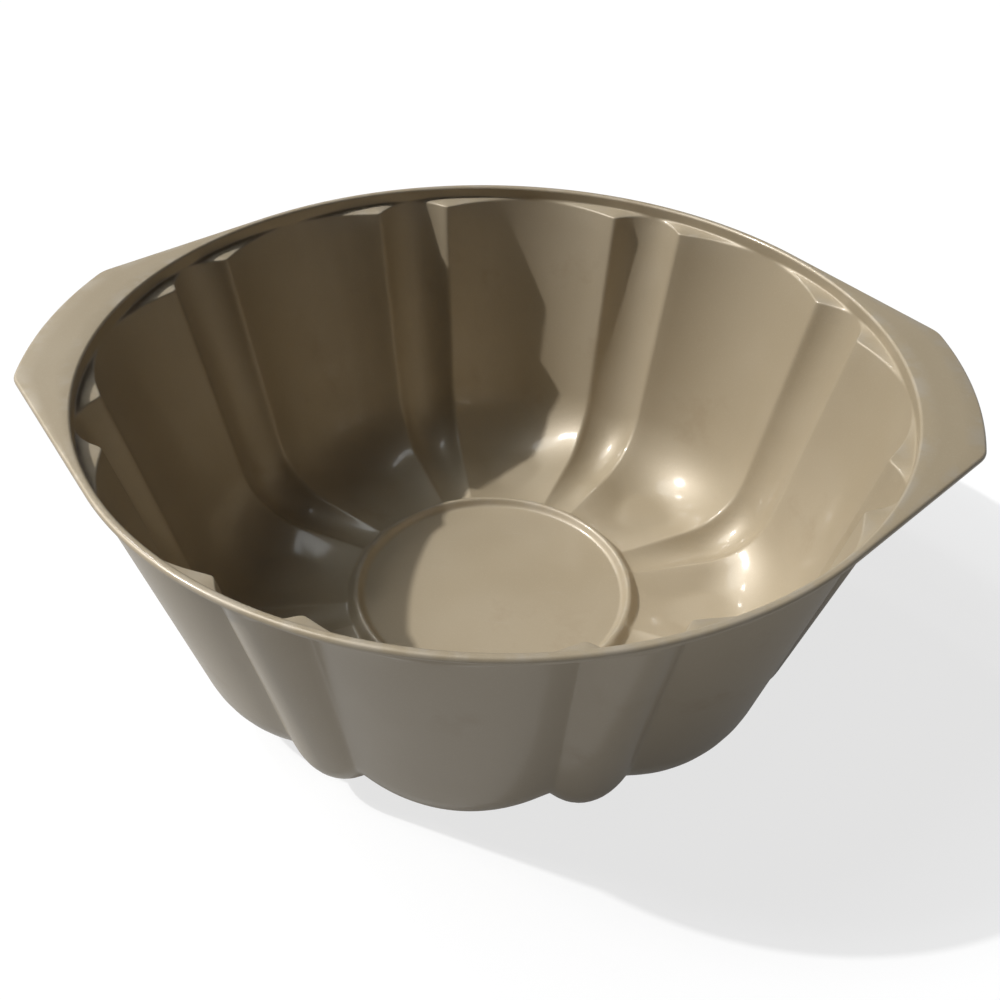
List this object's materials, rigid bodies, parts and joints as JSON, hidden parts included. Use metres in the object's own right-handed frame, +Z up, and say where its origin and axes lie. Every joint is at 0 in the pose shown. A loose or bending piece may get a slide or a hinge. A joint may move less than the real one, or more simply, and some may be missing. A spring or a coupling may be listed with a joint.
{
  "type": "fluted cake pan",
  "caption": "Deep round fluted cake pan of pressed nonstick steel: wide and narrow flutes, ring round a sunken centre disc, rolled rim with flat tab handles, for baking a moulded cake.",
  "frame": {"origin": "on the table under the centre of the bowl, at the level of the flat pads under the wide flutes", "axes": "+Z up out of the bowl's mouth, +X towards one tab handle, +Y across the handles"},
  "size_m": [0.2708, 0.2416, 0.0968],
  "materials": {
    "nonstick_coat": "satin-gloss champagne beige nonstick coat on both faces"
  },
  "bodies": {
    "root": {"pan_shell": "nonstick_coat"}
  },
  "joints": []
}
